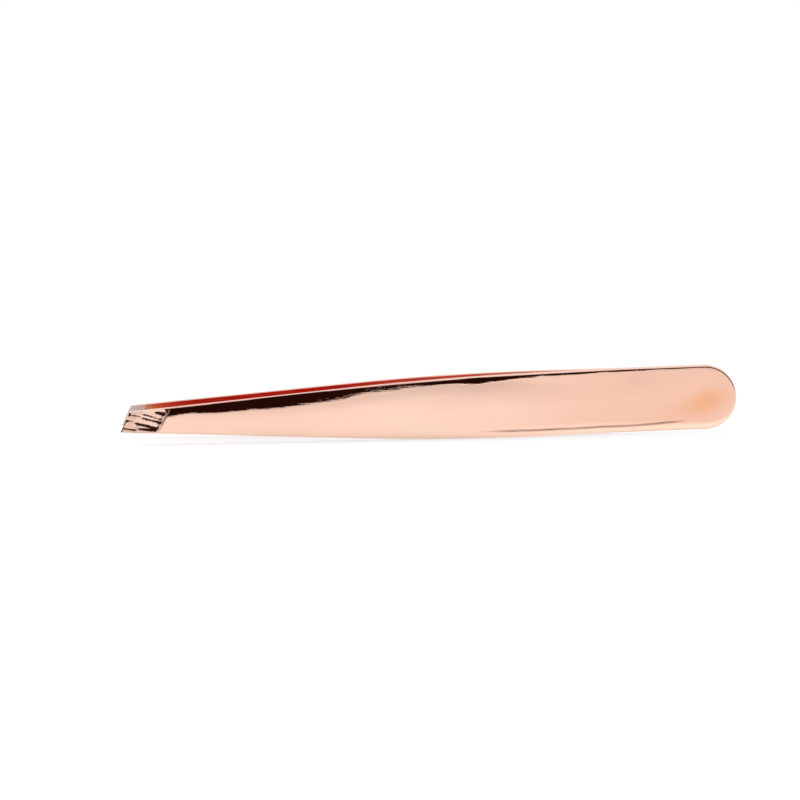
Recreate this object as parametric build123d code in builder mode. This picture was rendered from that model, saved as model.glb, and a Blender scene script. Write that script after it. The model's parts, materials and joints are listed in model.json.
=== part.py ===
from build123d import *

import os
from math import asin, atan, atan2, cos, degrees, hypot, pi, radians, sin, tan

# Slant tweezers: two stamped, bowed arms of spring steel strip, spot-welded
# face to face at the butt and ground to a slanted gripping tip.
#
# Millimetres, +Z up. The tweezers stand on their long edges, as they lie on a
# table: X runs from the tips to the butt, the arms open along Y to either side
# of the mid-plane Y = 0, and the origin is under the middle of the part.
#
# An arm is drawn along its own centreline. "along" grows towards the butt from
# the bend where the arms part, "across" grows upwards from the centreline to
# the upper long side, and "out" grows away from the mid-plane.

# ---- driving dimensions: outline of the strip, seen on its broad face ----
overall_length = 95.0  # leading corner of the tip to the end of the butt
tip_width = 3.05  # at the leading corner, square to the centreline
slant_angle = 26.5  # of the tip's end, from square; the lower corner leads
shoulder_width = 9.85  # where the tapers would meet the handle's sides
shoulder_distance = 51.0  # from the leading corner to that meeting
shoulder_radius = 470.0  # blends a taper into the handle's side
butt_width = 9.8
butt_corner_radius = 4.8  # nearly a half circle

# ---- driving dimensions: the strip's bow, seen from above ----
strip_thickness = 1.1
butt_length = 18.0  # from the end of the butt to the bend where the arms part
parting_radius = 60.0  # of that bend, on the inner face
knee_distance = 23.0  # from the parting bend to the knee of the bow
knee_gap = 4.2  # between the inner faces where the knee's two runs would meet
knee_radius = 350.0  # on the inner face
tip_gap = 7.7  # between the gripping faces at the tips, at rest
outer_edge_radius = 0.4
inner_edge_chamfer = 0.12

# ---- driving dimensions: the ground tip ----
facet_length = 5.2  # of the outer facet, square to its slanted back edge
tip_thickness = 0.4  # left by the facet at the very end
grip_grind = 0.06  # taken off the inner face at the end, for a flat grip

# ---- driving dimensions: the spot welds in the butt ----
weld_count = 2
weld_pitch = 7.5
weld_end_margin = 5.0  # from the end of the butt to the first weld's centre
weld_diameter = 4.0
weld_penetration = 0.4  # into each arm
weld_taper = 45.0  # of a nugget's rim, which is widest where the arms meet

# ---- driving dimension: how the tweezers lie ----
lie_angle = 1.4  # climb of the centreline when they balance on their long edges

# ---- worked out from the above ----
free_length = overall_length - butt_length
taper_slope = (shoulder_width - tip_width) / 2 / shoulder_distance
end_stock = tip_width  # of the blank beyond the leading corner, cut off by the slant
parting_angle = atan2(knee_gap / 2, knee_distance)
splay_angle = atan2((tip_gap - knee_gap) / 2, free_length - knee_distance)

# A leaf bent at its tip turns about a point 0.15 of its length from its fixed
# end, so each arm is parted there and flexes about the edge of its inner face.
flex_distance = 0.15 * free_length
flex_out = flex_distance * tan(parting_angle)

# The turn that brings the grip's front edge to the mid-plane.
flex_to_tip = free_length - flex_distance
flex_to_grip = tip_gap / 2 - flex_out
close_angle = atan2(flex_to_grip, flex_to_tip) + asin(flex_out / hypot(flex_to_tip, flex_to_grip))

# ---- the outline, with along as X and across as Y ----
slant = radians(slant_angle)
with BuildSketch() as outline:
    with BuildLine():
        lower_side = Polyline(
            (-free_length - end_stock, -tip_width / 2 + taper_slope * end_stock),
            (shoulder_distance - free_length, -shoulder_width / 2),
            (butt_length, -butt_width / 2),
        )
        upper_side = mirror(lower_side, about=Plane.XZ)
        Line(lower_side @ 0, upper_side @ 0)
        Line(lower_side @ 1, upper_side @ 1)
    make_face()
    fillet(outline.vertices().group_by(Axis.X)[1], radius=shoulder_radius)
    fillet(outline.vertices().group_by(Axis.X)[-1], radius=butt_corner_radius)
    slanted_cut = Plane((-free_length, -tip_width / 2, 0), z_dir=(cos(slant), -sin(slant), 0))
    split(bisect_by=slanted_cut, keep=Keep.TOP)

# The outline, tilted as it lies, touches Z = 0 and has its middle at X = 0.
lying = outline.sketch.rotate(Axis.Z, lie_angle).bounding_box()
lie_origin = (-(lying.min.X + lying.max.X) / 2, 0, -lying.min.Y)
along_direction = (cos(radians(lie_angle)), 0, sin(radians(lie_angle)))

# On the face plane X is along and Y is across; on the bow plane Y is out, for
# the front arm, which is the one on the -Y side.
face_plane = Plane(lie_origin, x_dir=along_direction, z_dir=(0, -1, 0))
bow_plane = Plane(lie_origin, x_dir=along_direction, z_dir=-face_plane.y_dir)


def bow_point(along, out):
    """Point in space on the front arm's centreline."""
    return bow_plane.from_local_coords((along, out, 0))


def bow_direction(angle):
    """Direction in space, turned by an angle in radians from along to out."""
    return bow_plane.x_dir * cos(angle) + bow_plane.y_dir * sin(angle)


# ---- planes that the front arm is parted and ground by ----
# Square to the strip, through the edge that the arm flexes about.
flex_edge = bow_point(-flex_distance, flex_out)
parting_plane = Plane(flex_edge, z_dir=bow_direction(-parting_angle))

# Where the mid-plane lies if it turns with the arm, from closed to rest.
grip_normal = bow_direction(pi / 2 - close_angle)
grip_plane = Plane(flex_edge - grip_normal * flex_out, z_dir=grip_normal)

# The facet starts at a line on the outer face that is parallel to the slanted
# end, and falls from there to the end, where it leaves the tip's thickness.
end_out = tip_gap / 2 - grip_grind
outer_normal = bow_direction(pi / 2 - splay_angle)
back_from_end = bow_direction(-splay_angle) * cos(slant) - face_plane.y_dir * sin(slant)
inner_corner = bow_point(-free_length, end_out) - face_plane.y_dir * tip_width / 2
facet_back = inner_corner + outer_normal * strip_thickness + back_from_end * facet_length
facet_fall = atan((strip_thickness - tip_thickness) / facet_length)
facet_plane = Plane(facet_back, z_dir=outer_normal * cos(facet_fall) - back_from_end * sin(facet_fall))

# ---- the front arm, whole: a bowed strip cut to the outline, then ground ----
with BuildPart() as front_arm:
    with BuildSketch(bow_plane):
        with BuildLine():
            FilletPolyline(
                (butt_length, 0),
                (0, 0),
                (-knee_distance, knee_gap / 2),
                (-free_length - end_stock, end_out + end_stock * tan(splay_angle)),
                radius=(parting_radius, knee_radius),
            )
            offset(amount=strip_thickness, side=Side.RIGHT)
        make_face()
    extrude(amount=shoulder_width, both=True)
    with BuildSketch(face_plane):
        add(outline.sketch)
    extrude(amount=tip_gap + strip_thickness, mode=Mode.INTERSECT)

    # The long sides and the butt's end are rounded outside and only broken inside.
    # The slanted end stays sharp.
    slanted_end = front_arm.faces().sort_by(Axis.X)[0]
    outer_faces = front_arm.faces().filter_by(lambda face: face.normal_at().Y < -0.9)
    inner_faces = front_arm.faces().filter_by(lambda face: face.normal_at().Y > 0.9)
    side_faces = front_arm.faces() - outer_faces - inner_faces - [slanted_end]
    outer_rim = outer_faces.edges() & side_faces.edges()
    inner_rim = inner_faces.edges() & side_faces.edges()
    fillet(outer_rim, radius=outer_edge_radius)
    chamfer(inner_rim, length=inner_edge_chamfer)

    # The facet leaves the tip thin, and the grip lies flat on its mate when closed.
    split(bisect_by=facet_plane, keep=Keep.BOTTOM)
    split(bisect_by=grip_plane, keep=Keep.TOP)

# ---- spot welds: button-shaped nuggets, half in each arm ----
with BuildPart() as spot_welds:
    for number in range(weld_count):
        weld_along = butt_length - weld_end_margin - number * weld_pitch
        weld_centre = bow_point(weld_along, 0)
        with BuildSketch(Plane(weld_centre, x_dir=bow_plane.x_dir, z_dir=bow_plane.y_dir)):
            Circle(weld_diameter / 2)
        extrude(amount=weld_penetration, both=True, taper=weld_taper)
spot_welds.part.label = "spot_welds"

# ---- the front arm in two nodes: its end in the butt, and the part that moves ----
with BuildPart() as front_arm_butt:
    add(front_arm.part)
    split(bisect_by=parting_plane, keep=Keep.TOP)
    add(spot_welds.part, mode=Mode.SUBTRACT)
front_arm_butt.part.label = "front_arm_butt"

with BuildPart() as front_arm_blade:
    add(front_arm.part)
    split(bisect_by=parting_plane, keep=Keep.BOTTOM)
front_arm_blade.part.label = "front_arm_blade"

# ---- the rear arm is the front arm's mirror image ----
with BuildPart() as rear_arm_butt:
    mirror(front_arm_butt.part, about=Plane.XZ)
rear_arm_butt.part.label = "rear_arm_butt"

with BuildPart() as rear_arm_blade:
    mirror(front_arm_blade.part, about=Plane.XZ)
rear_arm_blade.part.label = "rear_arm_blade"

os.makedirs("parts", exist_ok=True)
for node in (front_arm_butt, front_arm_blade, rear_arm_butt, rear_arm_blade, spot_welds):
    export_step(node.part, f"parts/{node.part.label}.step")

print(f"Each arm closes by {degrees(close_angle):.3f} degrees about {flex_edge}.")
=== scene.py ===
import json
import math
import bpy
from mathutils import Matrix, Vector, noise


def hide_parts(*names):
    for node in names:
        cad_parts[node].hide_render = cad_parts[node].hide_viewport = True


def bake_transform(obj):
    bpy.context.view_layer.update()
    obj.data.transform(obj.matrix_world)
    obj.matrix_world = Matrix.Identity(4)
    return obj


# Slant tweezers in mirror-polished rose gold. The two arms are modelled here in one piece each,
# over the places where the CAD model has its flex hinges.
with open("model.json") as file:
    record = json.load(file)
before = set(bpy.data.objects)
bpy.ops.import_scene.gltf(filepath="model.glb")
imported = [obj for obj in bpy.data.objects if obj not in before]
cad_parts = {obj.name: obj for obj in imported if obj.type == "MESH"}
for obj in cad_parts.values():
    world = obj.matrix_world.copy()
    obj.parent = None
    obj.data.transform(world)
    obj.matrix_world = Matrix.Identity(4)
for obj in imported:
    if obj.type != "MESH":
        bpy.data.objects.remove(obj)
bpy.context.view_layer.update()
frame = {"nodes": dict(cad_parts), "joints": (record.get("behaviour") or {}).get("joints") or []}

MM = 0.001

# ---- the arm's dimensions in millimetres, as in the CAD model ----
# "along" grows towards the butt from the bend where the arms part, "across"
# grows upwards from the centreline, and "out" grows away from the mid-plane.
# "s" is the distance along the arm from the leading corner of the tip.
FREE_LENGTH = 77.0
BUTT_LENGTH = 18.0
TIP_WIDTH = 3.05
SLANT = math.radians(26.5)
SHOULDER_WIDTH = 9.85
SHOULDER_ALONG = 51.0 - FREE_LENGTH
SHOULDER_RADIUS = 470.0
BUTT_WIDTH = 9.8
CORNER_RADIUS = 4.8
THICKNESS = 1.1
PARTING_RADIUS = 60.0
KNEE_ALONG = -23.0
KNEE_OUT = 2.1
KNEE_RADIUS = 350.0
TIP_OUT = 3.85
GRIP_GRIND = 0.06
INNER_BREAK = 0.12
TIP_THICKNESS = 0.4
FLEX_SHARE = 0.15  # of the free length, from the parting bend to the flex hinge

# ---- and as grinding and polishing have left it ----
EDGE_RADIUS = 0.45  # of the outer edge on the arm
HANDLE_EDGE_RADIUS = 0.34  # and on the handle
HANDLE_EDGE_RANGE = (-14, 4)  # along, where the first turns into the second
FACET_LENGTH = 5.45  # 0.25 more than in the CAD model: polishing carries its back line
GRIP_LENGTH = 2.35  # of the satin grip inside the tip

TAPER = (SHOULDER_WIDTH - TIP_WIDTH) / 2 / (SHOULDER_ALONG + FREE_LENGTH)
HANDLE_TAPER = (BUTT_WIDTH - SHOULDER_WIDTH) / 2 / (BUTT_LENGTH - SHOULDER_ALONG)
PARTING = math.atan2(KNEE_OUT, -KNEE_ALONG)
SPLAY = math.atan2(TIP_OUT - KNEE_OUT, FREE_LENGTH + KNEE_ALONG)

# ---- where the arm lies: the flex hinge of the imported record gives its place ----
hinge = {joint["name"]: joint for joint in frame["joints"]}["front_arm_flex"]
ACROSS = -Vector(hinge["axis"]).normalized()
OUT = Vector((0, -1, 0))
ALONG = ACROSS.cross(OUT)
FLEX_ALONG = -FLEX_SHARE * FREE_LENGTH
FLEX_OUT = -FLEX_ALONG * math.tan(PARTING)
ORIGIN = Vector(hinge["pos_m"]) / MM - ALONG * FLEX_ALONG - OUT * FLEX_OUT
CLOSE = math.atan2(TIP_OUT - FLEX_OUT, FREE_LENGTH + FLEX_ALONG)
CLOSE += math.asin(FLEX_OUT / math.hypot(FREE_LENGTH + FLEX_ALONG, TIP_OUT - FLEX_OUT))


def place(along, across, out):
    """A point of the front arm, in metres in the row frame."""
    return (ORIGIN + ALONG * along + ACROSS * across + OUT * out) * MM


def limited(x, low, high):
    return min(max(x, low), high)


def ease(x, start, end):
    """0 before start, 1 after end, and smooth between them."""
    t = limited((x - start) / (end - start), 0.0, 1.0)
    return t * t * (3 - 2 * t)


def hill(x, start, top_start, top_end, end):
    """Rises from start to top_start, stays at 1, and falls from top_end to end."""
    return ease(x, start, top_start) * (1 - ease(x, top_end, end))


def bent(x, corner, before, after, radius):
    """Height at x of two lines with these slopes that an arc joins near their corner."""
    first, second = math.atan(before), math.atan(after)
    reach = radius * math.tan(abs(second - first) / 2)
    start = corner[0] - reach * math.cos(first)
    if x <= start:
        return corner[1] + (x - corner[0]) * before
    if x >= corner[0] + reach * math.cos(second):
        return corner[1] + (x - corner[0]) * after
    side = math.copysign(1.0, after - before)
    centre_x = start - side * radius * math.sin(first)
    centre_y = corner[1] - reach * math.sin(first) + side * radius * math.cos(first)
    return centre_y - side * math.sqrt(radius**2 - (x - centre_x) ** 2)


# ---- the arm's outline and its bow ----
def half_width(along):
    shoulder = (SHOULDER_ALONG, SHOULDER_WIDTH / 2)
    return bent(along, shoulder, TAPER, HANDLE_TAPER, SHOULDER_RADIUS)


def bow(along):
    """Out of the strip's inner face before the grip is ground."""
    if along > KNEE_ALONG / 3:
        return bent(along, (0, 0), -math.tan(PARTING), 0, PARTING_RADIUS)
    splay = (TIP_OUT - GRIP_GRIND - KNEE_OUT) / (FREE_LENGTH + KNEE_ALONG)
    return bent(along, (KNEE_ALONG, KNEE_OUT), -splay, -math.tan(PARTING), KNEE_RADIUS)


def outer_face(along):
    near = 0.1
    slope = (bow(along + near) - bow(along - near)) / (2 * near)
    return bow(along) + THICKNESS * math.hypot(1, slope)


def inner_face(along):
    """The bow, and near the tip the flat grip, which lies in the mid-plane when closed."""
    grip_along = FLEX_ALONG - FLEX_OUT * math.sin(CLOSE)
    grip_out = FLEX_OUT - FLEX_OUT * math.cos(CLOSE)
    return max(bow(along), grip_out - math.tan(CLOSE) * (along - grip_along))


def skin(along, height):
    """Out of a point this high in the strip's thickness."""
    return bow(along) + height / THICKNESS * (outer_face(along) - bow(along))


CORNER_ALONG = BUTT_LENGTH - CORNER_RADIUS
CORNER_ACROSS = half_width(CORNER_ALONG) - CORNER_RADIUS


def from_edge(along, across, side):
    """Distance in from the outline, on the upper (1) or the lower (-1) side."""
    if along <= CORNER_ALONG:
        return half_width(along) - side * across
    past_corner = max(side * across - CORNER_ACROSS, 0.0)
    return CORNER_RADIUS - math.hypot(along - CORNER_ALONG, past_corner)


# ---- relief of the polished outer face: how far it lies below the plain shape ----
# How far in from the upper long edge the buffing wheel has rolled it over, as
# (s, reach).
ROLLED = (
    (0, 1.6), (7, 1.65), (10, 1.46), (16, 1.9), (20.5, 1.92), (23, 2.1), (27, 2.08),
    (31, 1.96), (34.5, 1.84), (36, 1.5), (38, 1.26), (42.5, 1.26), (44, 1.05), (51, 1.06),
    (55, 1.4), (57.5, 1.22), (61.5, 0.91), (66, 0.84), (70, 0.79), (75, 0.72), (95, 0.70),
)
RAGGED = ((0.07, 0.5, 2.0), (0.06, 1.7, 7.0))  # height, fineness and row of its noise
CALM = 0.75  # how much less ragged the handle is
CALM_RANGE = (64, 72)  # in s
ROLL_SLOPE = 0.09  # of the face, well beyond the place where it starts to roll over
ROLL_EASE = 0.5  # how gradually it reaches that slope
LEAN_REACH = 1.7  # how much further in the face starts to lean, very slightly
LEAN_SLOPE = 0.024
LEAN_EASE = 0.9
LOWER_REACH = 0.9  # of the lower rolled edge
LOWER_EXTRA = 0.5  # how much further it reaches on the arm
LOWER_RANGE = (2, 15, 26, 60)  # in s

# How far the faint burnished line runs in from the handle's lower edge.
BEAD_REACH = 0.96
BEAD_ARM_EXTRA, BEAD_ARM_RANGE = 0.14, (52, 66)
BEAD_BUTT_EXTRA, BEAD_BUTT_RANGE = 0.4, (78, 88)
BEAD_WANDER = 0.04

WAVE_DEPTH = 0.0016
SHORT_WAVES = 0.35  # as a share of the long ones


def rolled(s):
    """Reach of the upper rolled edge."""
    for (start, low), (end, high) in zip(ROLLED, ROLLED[1:]):
        if s <= end:
            break
    reach = low + (high - low) * ease(s, start, end)
    ragged = sum(height * noise.noise((s * fineness, row, 0.0)) for height, fineness, row in RAGGED)
    return reach + ragged * (1 - CALM * ease(s, *CALM_RANGE))


def roll(beyond, slope=ROLL_SLOPE, easing=ROLL_EASE):
    """Drop of the face this far beyond the place where it starts to roll over."""
    if beyond <= 0:
        return 0.0
    return slope * (beyond - easing * (1 - math.exp(-beyond / easing)))


def upper_crown(along, across):
    beyond = rolled(along + FREE_LENGTH) - from_edge(along, across, 1)
    return roll(beyond) + roll(beyond + LEAN_REACH, LEAN_SLOPE, LEAN_EASE)


def crown(along, across):
    """The buffing wheel takes the long edges down a little, most of all near the tip."""
    reach = LOWER_REACH + LOWER_EXTRA * hill(along + FREE_LENGTH, *LOWER_RANGE)
    return upper_crown(along, across) + roll(reach - from_edge(along, across, -1))


def bead_line(s):
    """How far the burnished line runs in from the lower edge."""
    reach = BEAD_REACH + BEAD_ARM_EXTRA * (1 - ease(s, *BEAD_ARM_RANGE))
    reach += BEAD_BUTT_EXTRA * ease(s, *BEAD_BUTT_RANGE)
    return reach + BEAD_WANDER * noise.noise((s * 0.25, 5.0, 0.0))


def waves(along, across):
    """Long, very shallow waves that hand polishing leaves."""
    long_wave = noise.noise((along * 0.09, across * 0.55, 3.0))
    short_wave = noise.noise((along * 0.4, across * 1.5, 9.0))
    return WAVE_DEPTH * (1 + long_wave + SHORT_WAVES * short_wave)


# ---- the facet: a plane through a slanted line on the outer face, falling to the end ----
outer_normal = Vector((math.sin(SPLAY), 0, math.cos(SPLAY)))
from_end = Vector((
    math.cos(SPLAY) * math.cos(SLANT),
    -math.sin(SLANT),
    -math.sin(SPLAY) * math.cos(SLANT),
))
facet_back = Vector((-FREE_LENGTH, -TIP_WIDTH / 2, TIP_OUT - GRIP_GRIND))
facet_back += outer_normal * THICKNESS + from_end * FACET_LENGTH
facet_fall = math.atan((THICKNESS - TIP_THICKNESS) / FACET_LENGTH)
facet_normal = outer_normal * math.cos(facet_fall) - from_end * math.sin(facet_fall)

# Where the slanted end and the facet's back line cross the centreline.
END_MIDDLE = -FREE_LENGTH + TIP_WIDTH / 2 * math.tan(SLANT)
FACET_MIDDLE = facet_back.x - facet_back.y * math.tan(SLANT)


def facet(along, across):
    """The ground plane; its upper back corner dips with the rolled edge that it meets."""
    slide = facet_normal.x * (along - facet_back.x) + facet_normal.y * (across - facet_back.y)
    back_across = facet_back.y + (along - facet_back.x) / math.tan(SLANT)
    reach = half_width(along) - EDGE_RADIUS
    dip = upper_crown(along, limited(back_across, -reach, reach))
    return facet_back.z - slide / facet_normal.z - dip


# Strokes of the grinding wheel on the facet: start and end as (s, across), and
# the width at each.
STROKES = (
    ((5.35, 1.38), (6.95, 1.08), 0.40, 0.62),
    ((3.45, 1.18), (6.30, 0.26), 0.19, 0.30),
    ((3.30, 0.60), (6.28, -0.27), 0.30, 0.44),
    ((2.25, -0.14), (5.75, -1.14), 0.28, 0.48),
    ((2.75, -1.05), (5.50, -1.38), 0.22, 0.40),
    ((1.60, 1.11), (3.20, 0.78), 0.05, 0.10),
    ((0.90, 1.30), (1.65, 1.24), 0.62, 0.46),
    ((0.66, 0.24), (1.30, 0.20), 0.50, 0.24),
    ((1.20, 0.22), (2.05, 0.05), 0.08, 0.05),
    ((0.42, -0.95), (2.40, -1.25), 0.11, 0.15),
)
STROKE_SLOPE = 0.10  # of a stroke's dark side
STROKE_RECOVERY = 1.4  # width over which the face comes back above a stroke
STROKE_ENDS = (-0.05, 0.10, 0.93, 1.03)  # shares of its length where it starts and stops
STROKE_WANDER = 0.05
STROKE_RAGGED = 0.35
LEAST_WIDTH = 0.02

BACK_LINE_DEPTH = 0.009  # of a groove along the facet's back line
BACK_LINE_RANGE = (0.13, 0.21, 0.21, 0.7)  # distance from that line
BACK_LINE_ACROSS = (-1.0, 0.4)  # where it deepens
END_LINE_DEPTH = 0.02  # of a step along the slanted end
END_LINE_WIDTH = 0.12
END_LINE_ACROSS = (-1.5, -1.2, 0.0, 0.5)


def strokes(along, across):
    """How far the grinder's marks lie below the facet."""
    s = along + FREE_LENGTH
    depth = 0.0
    for (start, low), (end, high), first, last in STROKES:
        length = math.hypot(end - start, high - low)
        run = ((s - start) * (end - start) + (across - low) * (high - low)) / length
        rise = ((across - low) * (end - start) - (s - start) * (high - low)) / length
        share = run / length
        rise += STROKE_WANDER * noise.noise((run * 1.7, start * 5, low * 5))
        ragged = 1 + STROKE_RAGGED * noise.noise((run * 2.6, low * 9, start))
        width = first + (last - first) * limited(share, 0.0, 1.0)
        width *= hill(share, *STROKE_ENDS) * ragged
        if width > LEAST_WIDTH:
            ramp = limited(rise / width + 0.5, 0.0, 1.0)
            back = limited((rise - width / 2) / STROKE_RECOVERY, 0.0, 1.0)
            depth += STROKE_SLOPE * width * (ramp - back)
    from_back = (FACET_MIDDLE - along + across * math.tan(SLANT)) * math.cos(SLANT)
    deepening = ease(across, *BACK_LINE_ACROSS)
    depth += BACK_LINE_DEPTH * deepening * hill(from_back, *BACK_LINE_RANGE)
    to_end = (along - across * math.tan(SLANT) - END_MIDDLE) * math.cos(SLANT)
    at_end = 1 - ease(to_end, 0.0, END_LINE_WIDTH)
    return depth + END_LINE_DEPTH * hill(across, *END_LINE_ACROSS) * at_end


# ---- rungs across the arm, slanted like the end near the tip ----
# A rung is ("side", where it crosses the centreline) or ("corner", its angle
# round the butt's two corners).
CELLS = 44  # across a face, narrower near its rims
ARC_STEPS = 6  # round an outer edge
FACET_STEPS = 72  # from the slanted end to the facet's back line, which is a rung
BUTT_STEPS = 36  # round the butt's corners
STEP_GROWTH = 1.03  # from each step to the next, behind the facet
LONGEST_STEP = 0.42
SHORTEST_STEP = 0.3  # left before the butt's corners
SQUARE_RANGE = (1, 30)  # behind the facet, where the rungs turn square
SETTLE_ROUNDS = 12  # that find where a slanted rung meets the outline
CUT_ROUNDS = 4  # that find where the facet cuts an edge's arc

across_share = []
for j in range(CELLS + 1):
    even = j / CELLS
    across_share.append(0.5 * even + 0.25 * (1 - math.cos(math.pi * even)))

rungs = []
for i in range(FACET_STEPS):
    rungs.append(("side", END_MIDDLE + (FACET_MIDDLE - END_MIDDLE) * i / FACET_STEPS))
step = (FACET_MIDDLE - END_MIDDLE) / FACET_STEPS
middle = FACET_MIDDLE
while middle < CORNER_ALONG - SHORTEST_STEP:
    rungs.append(("side", middle))
    step = min(step * STEP_GROWTH, LONGEST_STEP)
    middle += step
for i in range(BUTT_STEPS + 1):
    rungs.append(("corner", math.pi / 2 * (1 - i / BUTT_STEPS)))


def rung_end(rung, side, inset):
    """(along, across) of a rung's end, this far inside the outline. side is 1 or -1."""
    kind, value = rung
    if kind == "corner":
        radius = CORNER_RADIUS - inset
        across = side * (CORNER_ACROSS + radius * math.sin(value))
        return CORNER_ALONG + radius * math.cos(value), across
    square_start, square_end = (FACET_MIDDLE + distance for distance in SQUARE_RANGE)
    lean = math.tan(SLANT) * (1 - ease(value, square_start, square_end))
    across = 0.0
    for _ in range(SETTLE_ROUNDS):
        across = side * (half_width(value + across * lean) - inset)
    return value + across * lean, across


def edge_radius(rung):
    kind, value = rung
    if kind == "corner":
        return HANDLE_EDGE_RADIUS
    return EDGE_RADIUS + (HANDLE_EDGE_RADIUS - EDGE_RADIUS) * ease(value, *HANDLE_EDGE_RANGE)


def edge_arc(rung, side):
    """(inset, height) of points up the rounded outer edge, to where the facet cuts it off."""
    radius = edge_radius(rung)
    top = THICKNESS
    for _ in range(CUT_ROUNDS):
        drop = radius - THICKNESS + min(top, THICKNESS)
        turn = math.asin(limited(drop / radius, 0.0, 1.0))
        inset = radius * (1 - math.cos(turn))
        along, across = rung_end(rung, side, inset)
        share = (facet(along, across) - bow(along)) / (outer_face(along) - bow(along))
        top = min(THICKNESS, THICKNESS * share)
    points = []
    for k in range(ARC_STEPS + 1):
        angle = turn * k / ARC_STEPS
        height = min(top, THICKNESS - radius) + radius * math.sin(angle)
        points.append((radius * (1 - math.cos(angle)), height))
    return points


def between(ends, share):
    """(along, across) at this share of the way between two ends."""
    (along, across), (last_along, last_across) = ends
    return along + (last_along - along) * share, across + (last_across - across) * share


# ---- the mesh of an arm ----
SIDES = (-1, 1)  # lower and upper
POLISHED, GROUND, INSIDE = range(3)  # the material slots
CM = 10.0  # in millimetres; the materials measure the arm in centimetres
SURFACE_LAYER = "along_across"
EDGE_LAYER = "edges"
WAVES_EASE = 8  # rungs behind the facet over which the waves set in
STROKES_EASE = 2  # cells at the facet's rim over which the strokes set in
FACET_SLACK = 0.01  # a face lower than the facet by less than this still counts as cut
SHARP_ANGLE = math.radians(35)


class ArmMesh:
    """The points of an arm, with their places on it for the materials, and its faces."""

    def __init__(self, flip):
        self.flip = flip  # the rear arm is the front one's mirror image
        self.points, self.surface_uvs, self.edge_uvs = [], [], []
        self.faces, self.zones, self.sharp = [], [], set()

    def keep(self, point, along, across):
        s = along + FREE_LENGTH
        above_bead = from_edge(along, across, -1) - bead_line(s)
        above_roll = from_edge(along, across, 1) - rolled(s)
        self.points.append(point)
        self.surface_uvs.append((along / CM, across / CM))
        self.edge_uvs.append((above_bead / CM, above_roll / CM))
        return len(self.points) - 1

    def add(self, along, across, out):
        p = place(along, across, out)
        return self.keep((p.x, -p.y if self.flip else p.y, p.z), along, across)

    def face(self, loop, zone):
        self.faces.append(loop[::-1] if self.flip else loop)
        self.zones.append(zone)

    def piece(self, name):
        mesh = bpy.data.meshes.new(name)
        mesh.from_pydata(self.points, [], self.faces)
        mesh.polygons.foreach_set("material_index", self.zones)
        mesh.polygons.foreach_set("use_smooth", [True] * len(self.faces))
        for layer_name, uvs in ((SURFACE_LAYER, self.surface_uvs), (EDGE_LAYER, self.edge_uvs)):
            layer = mesh.uv_layers.new(name=layer_name)
            for loop in mesh.loops:
                layer.data[loop.index].uv = uvs[loop.vertex_index]
        normals = {}
        for face in mesh.polygons:
            for key in face.edge_keys:
                normals.setdefault(key, []).append(face.normal.copy())
        for edge in mesh.edges:
            sides = normals[edge.key]
            steep = len(sides) == 2 and sides[0].angle(sides[1], 0.0) > SHARP_ANGLE
            edge.use_edge_sharp = steep or frozenset(edge.vertices) in self.sharp
        mesh.validate()
        piece = bpy.data.objects.new(name, mesh)
        bpy.context.scene.collection.objects.link(piece)
        return piece


def outer_out(i, along, across, share):
    """Out of the outer face on rung i, or of the facet where that lies lower."""
    out = outer_face(along) - crown(along, across)
    if i >= FACET_STEPS:
        out -= waves(along, across) * ease(i, FACET_STEPS, FACET_STEPS + WAVES_EASE)
    cut = facet(along, across)
    if i <= FACET_STEPS and cut <= out + FACET_SLACK:
        inside = min(share, 1 - share) * CELLS
        marks = strokes(along, across) * ease(inside, 0, STROKES_EASE)
        out = cut - marks * ease(FACET_STEPS - i, 0, STROKES_EASE)
    return out


def add_rung(arm, i, rung):
    """Adds a rung's points: its inner row, its outer row, and the chains round its two rims."""
    arcs = [edge_arc(rung, side) for side in SIDES]
    ends_in = [rung_end(rung, side, INNER_BREAK) for side in SIDES]
    ends_out = [rung_end(rung, side, arc[-1][0]) for side, arc in zip(SIDES, arcs)]
    row_in, row_out = [], []
    for share in across_share:
        along, across = between(ends_in, share)
        row_in.append(arm.add(along, across, inner_face(along)))
        along, across = between(ends_out, share)
        row_out.append(arm.add(along, across, outer_out(i, along, across, share)))
    rims = []
    for side, arc in zip(SIDES, arcs):
        end = 0 if side < 0 else -1
        along, across = rung_end(rung, side, 0.0)
        lift = (inner_face(along) - bow(along)) * (1 - INNER_BREAK / THICKNESS)
        chain = [row_in[end], arm.add(along, across, skin(along, INNER_BREAK) + lift)]
        for inset, height in arc[:-1]:
            along, across = rung_end(rung, side, inset)
            limit = outer_face(along) - crown(along, across)
            chain.append(arm.add(along, across, min(skin(along, height), limit)))
        rims.append(chain + [row_out[end]])
    return row_in, row_out, rims


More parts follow.
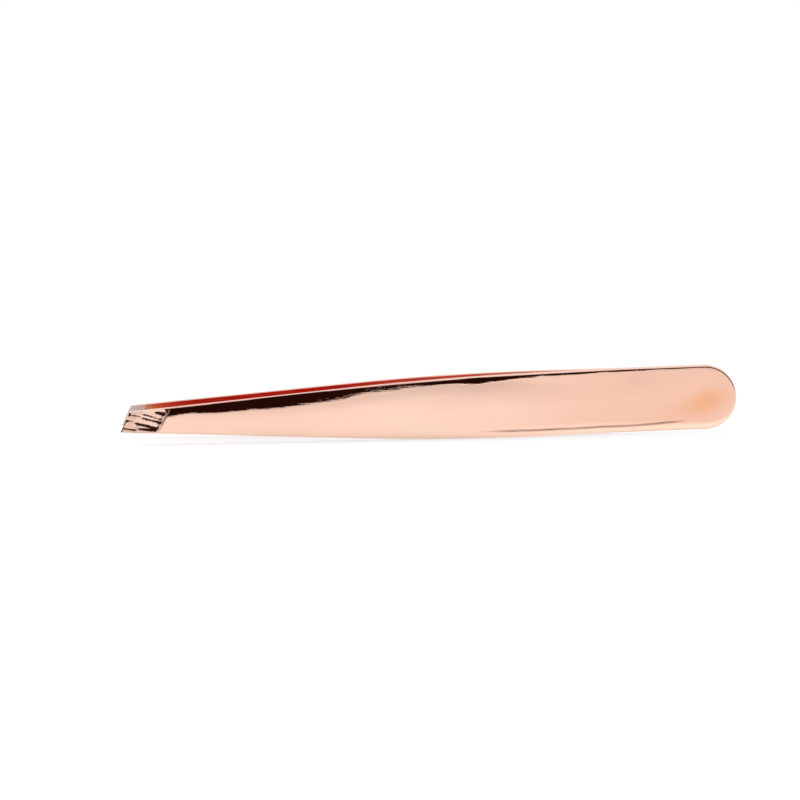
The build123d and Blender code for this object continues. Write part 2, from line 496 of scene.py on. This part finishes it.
def arm_piece(name, flip):
    arm = ArmMesh(flip)
    inner_grid, outer_grid, rims = zip(*(add_rung(arm, i, rung) for i, rung in enumerate(rungs)))

    last = len(rungs) - 1
    for i in range(last):
        inner, next_inner = inner_grid[i], inner_grid[i + 1]
        outer, next_outer = outer_grid[i], outer_grid[i + 1]
        zone = GROUND if i < FACET_STEPS else POLISHED
        for j in range(CELLS):
            arm.face([outer[j], next_outer[j], next_outer[j + 1], outer[j + 1]], zone)
            arm.face([inner[j], inner[j + 1], next_inner[j + 1], next_inner[j]], INSIDE)
        for side in (0, 1):
            here, there = rims[i][side], rims[i + 1][side]
            for k in range(len(here) - 1):
                loop = [here[k], there[k], there[k + 1], here[k + 1]]
                arm.face(loop if side == 0 else loop[::-1], POLISHED)
            if i < FACET_STEPS:
                arm.sharp.add(frozenset((here[-1], there[-1])))
    back_line = outer_grid[FACET_STEPS]
    arm.sharp.update(frozenset(pair) for pair in zip(back_line, back_line[1:]))

    # The butt's end between its two corners: the rim goes straight across.
    lower_rim, upper_rim = rims[last]
    columns = [lower_rim]
    for j in range(1, CELLS):
        share = across_share[j]
        across = rung_end(rungs[last], -1, 0)[1] + 2 * CORNER_ACROSS * share
        column = [inner_grid[last][j]]
        for lower, upper in zip(lower_rim[1:-1], upper_rim[1:-1]):
            p = Vector(arm.points[lower]).lerp(Vector(arm.points[upper]), share)
            column.append(arm.keep(tuple(p), BUTT_LENGTH, across))
        columns.append(column + [outer_grid[last][j]])
    columns.append(upper_rim)
    for here, there in zip(columns, columns[1:]):
        for k in range(len(here) - 1):
            arm.face([here[k], there[k], there[k + 1], here[k + 1]], POLISHED)

    # The slanted end: a flat wall from rim to rim.
    inner, outer = inner_grid[0], outer_grid[0]
    for j in range(CELLS):
        arm.face([outer[j], outer[j + 1], inner[j + 1], inner[j]], GROUND)
    lower_rim, upper_rim = rims[0]
    arm.face(lower_rim[::-1], GROUND)
    arm.face(upper_rim, GROUND)
    return arm.piece(name)


# ---- node trees ----
class Tree:
    """A node tree, built up one node at a time."""

    def __init__(self, tree):
        self.tree = tree

    def feed(self, socket, value):
        """Links another node's output to the socket, or sets its value."""
        if isinstance(value, bpy.types.NodeSocket):
            self.tree.links.new(value, socket)
        else:
            socket.default_value = value

    def node(self, kind, inputs=None, **settings):
        n = self.tree.nodes.new(kind)
        for key, value in settings.items():
            setattr(n, key, value)
        for key, value in (inputs or {}).items():
            self.feed(n.inputs[key], value)
        return n

    def math(self, operation, first, second=0.0):
        return self.node("ShaderNodeMath", {0: first, 1: second}, operation=operation).outputs[0]

    def product(self, first, *others):
        for other in others:
            first = self.math("MULTIPLY", first, other)
        return first

    def ranged(self, value, low, high, to_low, to_high, smooth=True):
        """Goes from to_low to to_high as value goes from low to high, and no further."""
        inputs = {"Value": value, "From Min": low, "From Max": high}
        inputs.update({"To Min": to_low, "To Max": to_high})
        kind = "SMOOTHSTEP" if smooth else "LINEAR"
        return self.node("ShaderNodeMapRange", inputs, interpolation_type=kind).outputs["Result"]

    def mixed(self, share, first, second):
        """A colour between two. A Mix node's sockets for colours go by number."""
        inputs = {0: share, 6: first, 7: second}
        return self.node("ShaderNodeMix", inputs, data_type="RGBA").outputs[2]

    def xyz(self, vector):
        return self.node("ShaderNodeSeparateXYZ", {0: vector}).outputs

    def light_path(self):
        return self.node("ShaderNodeLightPath").outputs


class Metal(Tree):
    """A metal's material. Places on the arm are in centimetres, depths in metres."""

    def __init__(self, name):
        self.material = bpy.data.materials.new(name)
        self.material.use_nodes = True
        super().__init__(self.material.node_tree)
        self.shader = self.tree.nodes["Principled BSDF"]
        self.shader.inputs["Metallic"].default_value = 1.0

    def uv(self, layer=SURFACE_LAYER):
        return self.node("ShaderNodeUVMap", uv_map=layer).outputs["UV"]

    def place(self, layer):
        xyz = self.xyz(self.uv(layer))
        return xyz["X"], xyz["Y"]

    def mapped(self, vector, **inputs):
        return self.node("ShaderNodeMapping", {"Vector": vector, **inputs}).outputs["Vector"]

    def grain(self, scale, detail=3.0, turn=0.0):
        """Noise as fine as scale says, along and across, on axes turned by an angle."""
        at = self.uv()
        if turn:
            at = self.mapped(at, Rotation=(0, 0, turn))
        inputs = {"Vector": self.mapped(at, Scale=(*scale, 1)), "Scale": 1.0, "Detail": detail}
        return self.node("ShaderNodeTexNoise", inputs).outputs["Fac"]

    def cloud(self, scale, strength=1.0):
        return self.ranged(self.grain(scale), 0.35, 0.7, 0.0, strength)

    def haze(self, detail, least, most):
        """Uneven roughness of a polished face."""
        return self.ranged(self.grain((0.8, 5.0), detail), 0.45, 0.75, least, most)

    def blotch(self, middle, reach, stretch, turn):
        """1 at a point (along, across in mm), falling to 0 at reach along its length."""
        turn = math.radians(turn)
        x, y = middle[0] / CM, middle[1] / CM
        shift_x = -x * math.cos(turn) + y * math.sin(turn)
        shift_y = -x * math.sin(turn) - y * math.cos(turn)
        at = self.mapped(self.uv(), Location=(shift_x, shift_y, 0), Rotation=(0, 0, turn))
        at = self.mapped(at, Scale=(1, stretch, 1))
        length = self.node("ShaderNodeVectorMath", {0: at}, operation="LENGTH").outputs["Value"]
        return self.ranged(length, 0.0, reach / CM, 1.0, 0.0)

    def bump(self, height, depth, under=None):
        inputs = {"Height": height, "Distance": depth, "Strength": 1.0}
        if under is not None:
            inputs["Normal"] = under
        return self.node("ShaderNodeBump", inputs).outputs["Normal"]

    def use(self, **sockets):
        for key, value in sockets.items():
            self.feed(self.shader.inputs[key.replace("_", " ")], value)
        return self.material


# ---- materials ----
ROSE = (0.95, 0.65, 0.52, 1)
ROSE_DEEP = (0.925, 0.60, 0.475, 1)
# Painted shade: the handle's deeper rose stands in for its darker reflection.
ROSE_HANDLE_SHADE = (0.885, 0.54, 0.415, 1)
ROSE_EDGE = (0.86, 0.46, 0.38, 1)
COPPER = (0.86, 0.42, 0.235, 1)

# The inner faces reflect each other many times, which deepens their colour. Painted reflection and
# shade set their own colour: deep near the tip, for still more reflections and dimmer light between
# the arms there, and paler towards the butt to make up for that deepening: (first along, last
# along, colour after it).
INSIDE_REFLECTION_ROSE = (0.86, 0.56, 0.42, 1)
INSIDE_REFLECTION_STEPS = (
    (-7.3, -7.05, (0.78, 0.37, 0.31, 1)),
    (-6.9, -5.2, (0.885, 0.56, 0.49, 1)),
    (-4.9, -3.5, (0.96, 0.86, 0.845, 1)),
    (-3.1, -1.9, (0.967, 0.895, 0.88, 1)),
)
INSIDE_CLOUD = (0.84, 0.50, 0.42, 1)
GRIP_STEEL = ((0.70, 0.62, 0.60, 1), (0.85, 0.77, 0.74, 1))
GRIP_BORDER = 0.008
GRIP_ROUGHNESS = 0.3  # on top of the inner face's own
WELD_STEEL = ((0.50, 0.49, 0.47, 1), (0.62, 0.60, 0.57, 1))
WELD_ROUGHNESS = 0.45

LINE_DEPTH = 4e-8
DIMPLE_DEPTH = 5e-7
STREAK_DEPTH = 2.5e-6
BEAD_DEPTH = 2.2e-5
GRIP_SCRATCH_DEPTH = 2e-6
FACET_SCRATCH_DEPTH = 4e-7
WELD_GRAIN_DEPTH = 1e-5


def rose_gold():
    n = Metal("rose_gold_polished")
    along, across = n.place(SURFACE_LAYER)
    above_bead, above_roll = n.place(EDGE_LAYER)

    # Clouded, with painted shade that deepens the handle for its darker reflection, and a
    # copper-coloured blotch near the butt.
    handle_shade = n.ranged(along, -2.6, 0.4, 0.0, 0.9)
    patch = n.product(n.blotch((13.8, -0.6), 4.6, 1.5, -22), 0.55)
    tail = n.product(n.blotch((11.4, -1.2), 8.0, 2.6, -18), 0.45)
    colour = n.mixed(n.cloud((0.45, 1.6)), ROSE, ROSE_DEEP)
    colour = n.mixed(handle_shade, colour, ROSE_HANDLE_SHADE)
    colour = n.mixed(n.math("ADD", patch, tail), colour, COPPER)

    # The arm's upper edge, where the plating is a little pinker.
    edge_at_bend = (SHOULDER_WIDTH / 2 - TAPER * SHOULDER_ALONG) / CM
    edge_across = n.math("ADD", n.product(along, TAPER), edge_at_bend)
    rim = n.ranged(n.math("SUBTRACT", edge_across, across), 0.020, 0.035, 1.0, 0.0)
    behind_grip = n.ranged(along, -7.3, -6.8, 0.0, 1.0)
    before_handle = n.ranged(along, -3.4, -0.8, 1.0, 0.3)
    pinker = n.product(rim, n.product(behind_grip, before_handle))
    colour = n.mixed(pinker, colour, ROSE_EDGE)

    # Brushed streaks where the upper edge rolls over, but not on the handle.
    roll_start = n.ranged(above_roll, -0.14, -0.09, 0.0, 1.0)
    roll_end = n.ranged(above_roll, -0.03, 0.02, 1.0, 0.0)
    smear_start = n.ranged(along, -5.4, -4.2, 0.0, 3.0)
    smear_end = n.ranged(along, -3.3, -2.9, 1.0, 0.0)
    streaks_end = n.ranged(along, -1.2, -0.6, 1.0, 0.0)
    brushed = n.math("ADD", n.product(smear_start, smear_end), streaks_end)
    streaks = n.product(n.grain((4.0, 50.0)), n.product(roll_start, roll_end, brushed))

    # The burnished line along the handle's lower edge: a satin ridge.
    ridge_below = n.ranged(above_bead, -0.02, 0.02, 0.0, 1.0)
    ridge_above = n.ranged(above_bead, 0.02, 0.35, 0.0, 1.0, smooth=False)
    satin_start = n.ranged(above_bead, -0.045, -0.018, 0.0, 0.27)
    satin_end = n.ranged(above_bead, 0.018, 0.045, 1.0, 0.0)
    line_start = n.ranged(along, -2.8, -1.4, 0.0, 1.0)
    line_end = n.ranged(along, 0.5, 1.5, 1.0, 0.0)
    strength = n.product(line_start, line_end)
    uneven = n.ranged(n.grain((2.2, 0.0), 2.0), 0.3, 0.7, 0.75, 1.15)
    bead = n.product(n.math("SUBTRACT", ridge_above, ridge_below), n.product(strength, uneven))
    satin = n.product(satin_start, satin_end, strength)
    rough = n.math("ADD", n.haze(5.0, 0.012, 0.05), satin)

    # Fine polishing lines and dimples lie all over.
    normal = n.bump(n.grain((0.7, 90.0), 2.0), LINE_DEPTH)
    normal = n.bump(n.grain((7.0, 16.0), 2.0), DIMPLE_DEPTH, normal)
    normal = n.bump(streaks, STREAK_DEPTH, normal)
    normal = n.bump(bead, BEAD_DEPTH, normal)
    return n.use(Base_Color=colour, Roughness=rough, Normal=normal)


def rose_gold_inside():
    """The inner faces, and the satin grip that is ground through the plating."""
    n = Metal("rose_gold_inside")
    along, across = n.place(SURFACE_LAYER)
    # Painted reflection and shade: the inner colour, deep near the tip and paler towards the butt.
    rose = INSIDE_REFLECTION_ROSE
    for first, last, colour in INSIDE_REFLECTION_STEPS:
        rose = n.mixed(n.ranged(along, first, last, 0.0, 1.0), rose, colour)
    rose = n.mixed(n.cloud((0.5, 2.0), 0.12), rose, INSIDE_CLOUD)
    steel = n.mixed(n.grain((3.0, 60.0), 2.0), *GRIP_STEEL)

    slanted_along = n.math("SUBTRACT", along, n.product(across, math.tan(SLANT)))
    to_end = n.math("SUBTRACT", slanted_along, END_MIDDLE / CM)
    grip_end = GRIP_LENGTH / CM
    grip = n.ranged(to_end, grip_end - GRIP_BORDER, grip_end + GRIP_BORDER, 1.0, 0.0)
    rough = n.math("ADD", n.haze(4.0, 0.015, 0.05), n.product(grip, GRIP_ROUGHNESS))
    scratches = n.bump(n.product(n.grain((60.0, 2.0)), grip), GRIP_SCRATCH_DEPTH)
    return n.use(Base_Color=n.mixed(grip, rose, steel), Roughness=rough, Normal=scratches)


def ground_facet():
    """The facet, scratched along the grinder's strokes and less polished than the rest."""
    n = Metal("rose_gold_facet")
    scratch = n.grain((1.5, 45.0), turn=math.radians(16))
    colour = n.mixed(n.cloud((4.0, 12.0)), ROSE, ROSE_DEEP)
    rough = n.ranged(scratch, 0.3, 0.7, 0.09, 0.15)
    normal = n.bump(scratch, FACET_SCRATCH_DEPTH)
    return n.use(Base_Color=colour, Roughness=rough, Normal=normal)


def weld_steel():
    n = Metal("weld_steel")
    spots = n.node("ShaderNodeTexNoise", {"Scale": 900.0, "Detail": 4.0}).outputs["Fac"]
    colour = n.mixed(spots, *WELD_STEEL)
    normal = n.bump(spots, WELD_GRAIN_DEPTH)
    return n.use(Base_Color=colour, Roughness=WELD_ROUGHNESS, Normal=normal)


# ---- the pieces ----
skins = (rose_gold(), ground_facet(), rose_gold_inside())  # by material slot
for name, flip, body, nodes in (
    ("front_arm", False, "front_blade", ("front_arm_butt", "front_arm_blade")),
    ("rear_arm", True, "rear_blade", ("rear_arm_butt", "rear_arm_blade")),
):
    arm = arm_piece(name, flip)
    for material in skins:
        arm.data.materials.append(material)
    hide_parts(*nodes)
    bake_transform(arm)

welds = frame["nodes"]["spot_welds"]
welds.data.materials.clear()
welds.data.materials.append(weld_steel())

# ---- the floor, in metres ----
FLOOR_SIZE = 12.0
PAPER = (0.9, 0.9, 0.9, 1)
PLAIN_WHITE = 0.6  # the least share of plain white in what the camera sees of the paper
DULL_START = 0.044  # in front, where the paper's reflection starts to get duller
DULL_LENGTH = 0.06  # over which it does
LEAST_DULL = 0.04

bpy.ops.mesh.primitive_plane_add(size=FLOOR_SIZE, location=(0, 0, 0))
floor = bpy.context.object
floor.name = "floor"
paper = bpy.data.materials.new("floor_paper")
paper.use_nodes = True
paper.node_tree.nodes.clear()
t = Tree(paper.node_tree)
path = t.light_path()
where = t.xyz(t.node("ShaderNodeNewGeometry").outputs["Position"])
x, y = where["X"], where["Y"]

# Seen directly the paper is white, with the tweezers' shadow: faint beside the
# handle, and gone far off.
distance = t.math("SQRT", t.math("ADD", t.math("POWER", x, 2.0), t.math("POWER", y, 2.0)))
far_off = t.ranged(distance, 0.12, 0.40, 0.0, 1.0)
beside_handle = t.ranged(x, 0.012, 0.045, 0.0, 0.9)
brighter = t.product(t.math("MAXIMUM", far_off, beside_handle), 1 - PLAIN_WHITE)
seen = t.product(path["Is Camera Ray"], t.math("ADD", brighter, PLAIN_WHITE))

# In the polished metal it is as lit under the open sky, but dim between the arms.
open_side = t.ranged(t.math("ABSOLUTE", y), 0.0004, 0.0012, 0.0, 0.6)
mirrored = t.product(path["Is Glossy Ray"], open_side)

# There it is also duller in front of the handle, except close by; close in front of the butt it
# even glows brighter than white, a painted highlight on the handle's lower edge.
in_front = t.math("MAXIMUM", t.math("SUBTRACT", t.product(y, -1.0), DULL_START), 0.0)
fade = t.math("SUBTRACT", 1.0, t.math("EXPONENT", t.product(in_front, -1 / DULL_LENGTH)))
handle_start = t.ranged(x, -0.12, 0.0, 0.0, 0.62)
handle_end = t.ranged(x, 0.026, 0.046, 1.0, 0.1)
dull = t.math("ADD", t.product(handle_start, handle_end, fade), LEAST_DULL)
# Painted highlight: close in front of the butt the floor's glow in reflections rises above white.
close_by = t.ranged(y, -0.018, -0.007, 0.0, 0.7)
beside_butt = t.ranged(x, 0.002, 0.03, 0.0, 1.0)
front_half = t.ranged(y, -0.0006, 0.0, 1.0, 0.0)
dull = t.math("SUBTRACT", dull, t.product(close_by, beside_butt, front_half))
level = t.math("SUBTRACT", 1.0, t.product(path["Is Glossy Ray"], dull))

glow = t.node("ShaderNodeEmission", {"Strength": level}).outputs[0]
matte = t.node("ShaderNodeBsdfDiffuse", {"Color": PAPER}).outputs[0]
glow_share = t.math("MAXIMUM", seen, mirrored)
mix = t.node("ShaderNodeMixShader", {0: glow_share, 1: matte, 2: glow})
t.node("ShaderNodeOutputMaterial", {"Surface": mix.outputs[0]})
floor.data.materials.append(paper)

# ---- the world ----
# Its dark side, which only polished metal shows, is in front, from the floor up
# to where it fades out overhead.
WHITE = (1, 1, 1, 1)
DARK = (0.019, 0.005, 0.003, 1)

world = bpy.data.worlds.new("studio")
world.use_nodes = True
bpy.context.scene.world = world
t = Tree(world.node_tree)
where = t.xyz(t.node("ShaderNodeTexCoord").outputs["Generated"])
above_floor = t.ranged(where["Z"], -0.02, 0.0, 0.0, 1.0)
below_top = t.ranged(where["Z"], 0.62, 0.95, 1.0, 0.0)
front_side = t.ranged(where["Y"], -0.30, -0.12, 1.0, 0.0)
dark = t.product(above_floor, below_top, front_side, t.light_path()["Is Glossy Ray"])
background = world.node_tree.nodes["Background"]
t.feed(background.inputs["Color"], t.mixed(dark, WHITE, DARK))

# ---- the lamp ----
lamp = bpy.data.objects.new("overhead", bpy.data.lights.new("overhead", "AREA"))
lamp.data.shape = "DISK"
lamp.data.size = 0.5
lamp.data.energy = 3.0
lamp.location = (-0.1, 0.15, 0.9)
lamp.rotation_euler = (-lamp.location).to_track_quat("-Z", "Y").to_euler()
lamp.visible_glossy = False
bpy.context.scene.collection.objects.link(lamp)

# ---- the camera: nearly straight ahead, a little above, and almost level ----
CAMERA_AZIMUTH = math.radians(-1.24)
CAMERA_ELEVATION = math.radians(7.06)
CAMERA_ROLL = math.radians(-0.69)
CAMERA_DISTANCE = 0.900
TARGET = Vector((-0.00441, 0, 0.00578))
SENSOR_MM = 36.0
FOCAL_PIXELS = 5833.0
IMAGE_PIXELS = 800

back = Vector((
    math.sin(CAMERA_AZIMUTH) * math.cos(CAMERA_ELEVATION),
    -math.cos(CAMERA_AZIMUTH) * math.cos(CAMERA_ELEVATION),
    math.sin(CAMERA_ELEVATION),
))
level_right = (-back).cross(Vector((0, 0, 1))).normalized()
level_up = level_right.cross(-back)
right = level_right * math.cos(CAMERA_ROLL) + level_up * math.sin(CAMERA_ROLL)
up = level_up * math.cos(CAMERA_ROLL) - level_right * math.sin(CAMERA_ROLL)
facing = Matrix((right, up, back)).transposed().to_4x4()
camera = bpy.data.objects.new("camera", bpy.data.cameras.new("camera"))
camera.data.sensor_width = SENSOR_MM
camera.data.lens = FOCAL_PIXELS * SENSOR_MM / IMAGE_PIXELS
camera.data.clip_start, camera.data.clip_end = 0.05, 30.0
camera.matrix_world = Matrix.Translation(TARGET + back * CAMERA_DISTANCE) @ facing
bpy.context.scene.collection.objects.link(camera)
bpy.context.scene.camera = camera

# The red between the arms takes many reflections.
bpy.context.scene.view_settings.view_transform = "Standard"
bpy.context.scene.cycles.max_bounces = 32
bpy.context.scene.cycles.glossy_bounces = 24
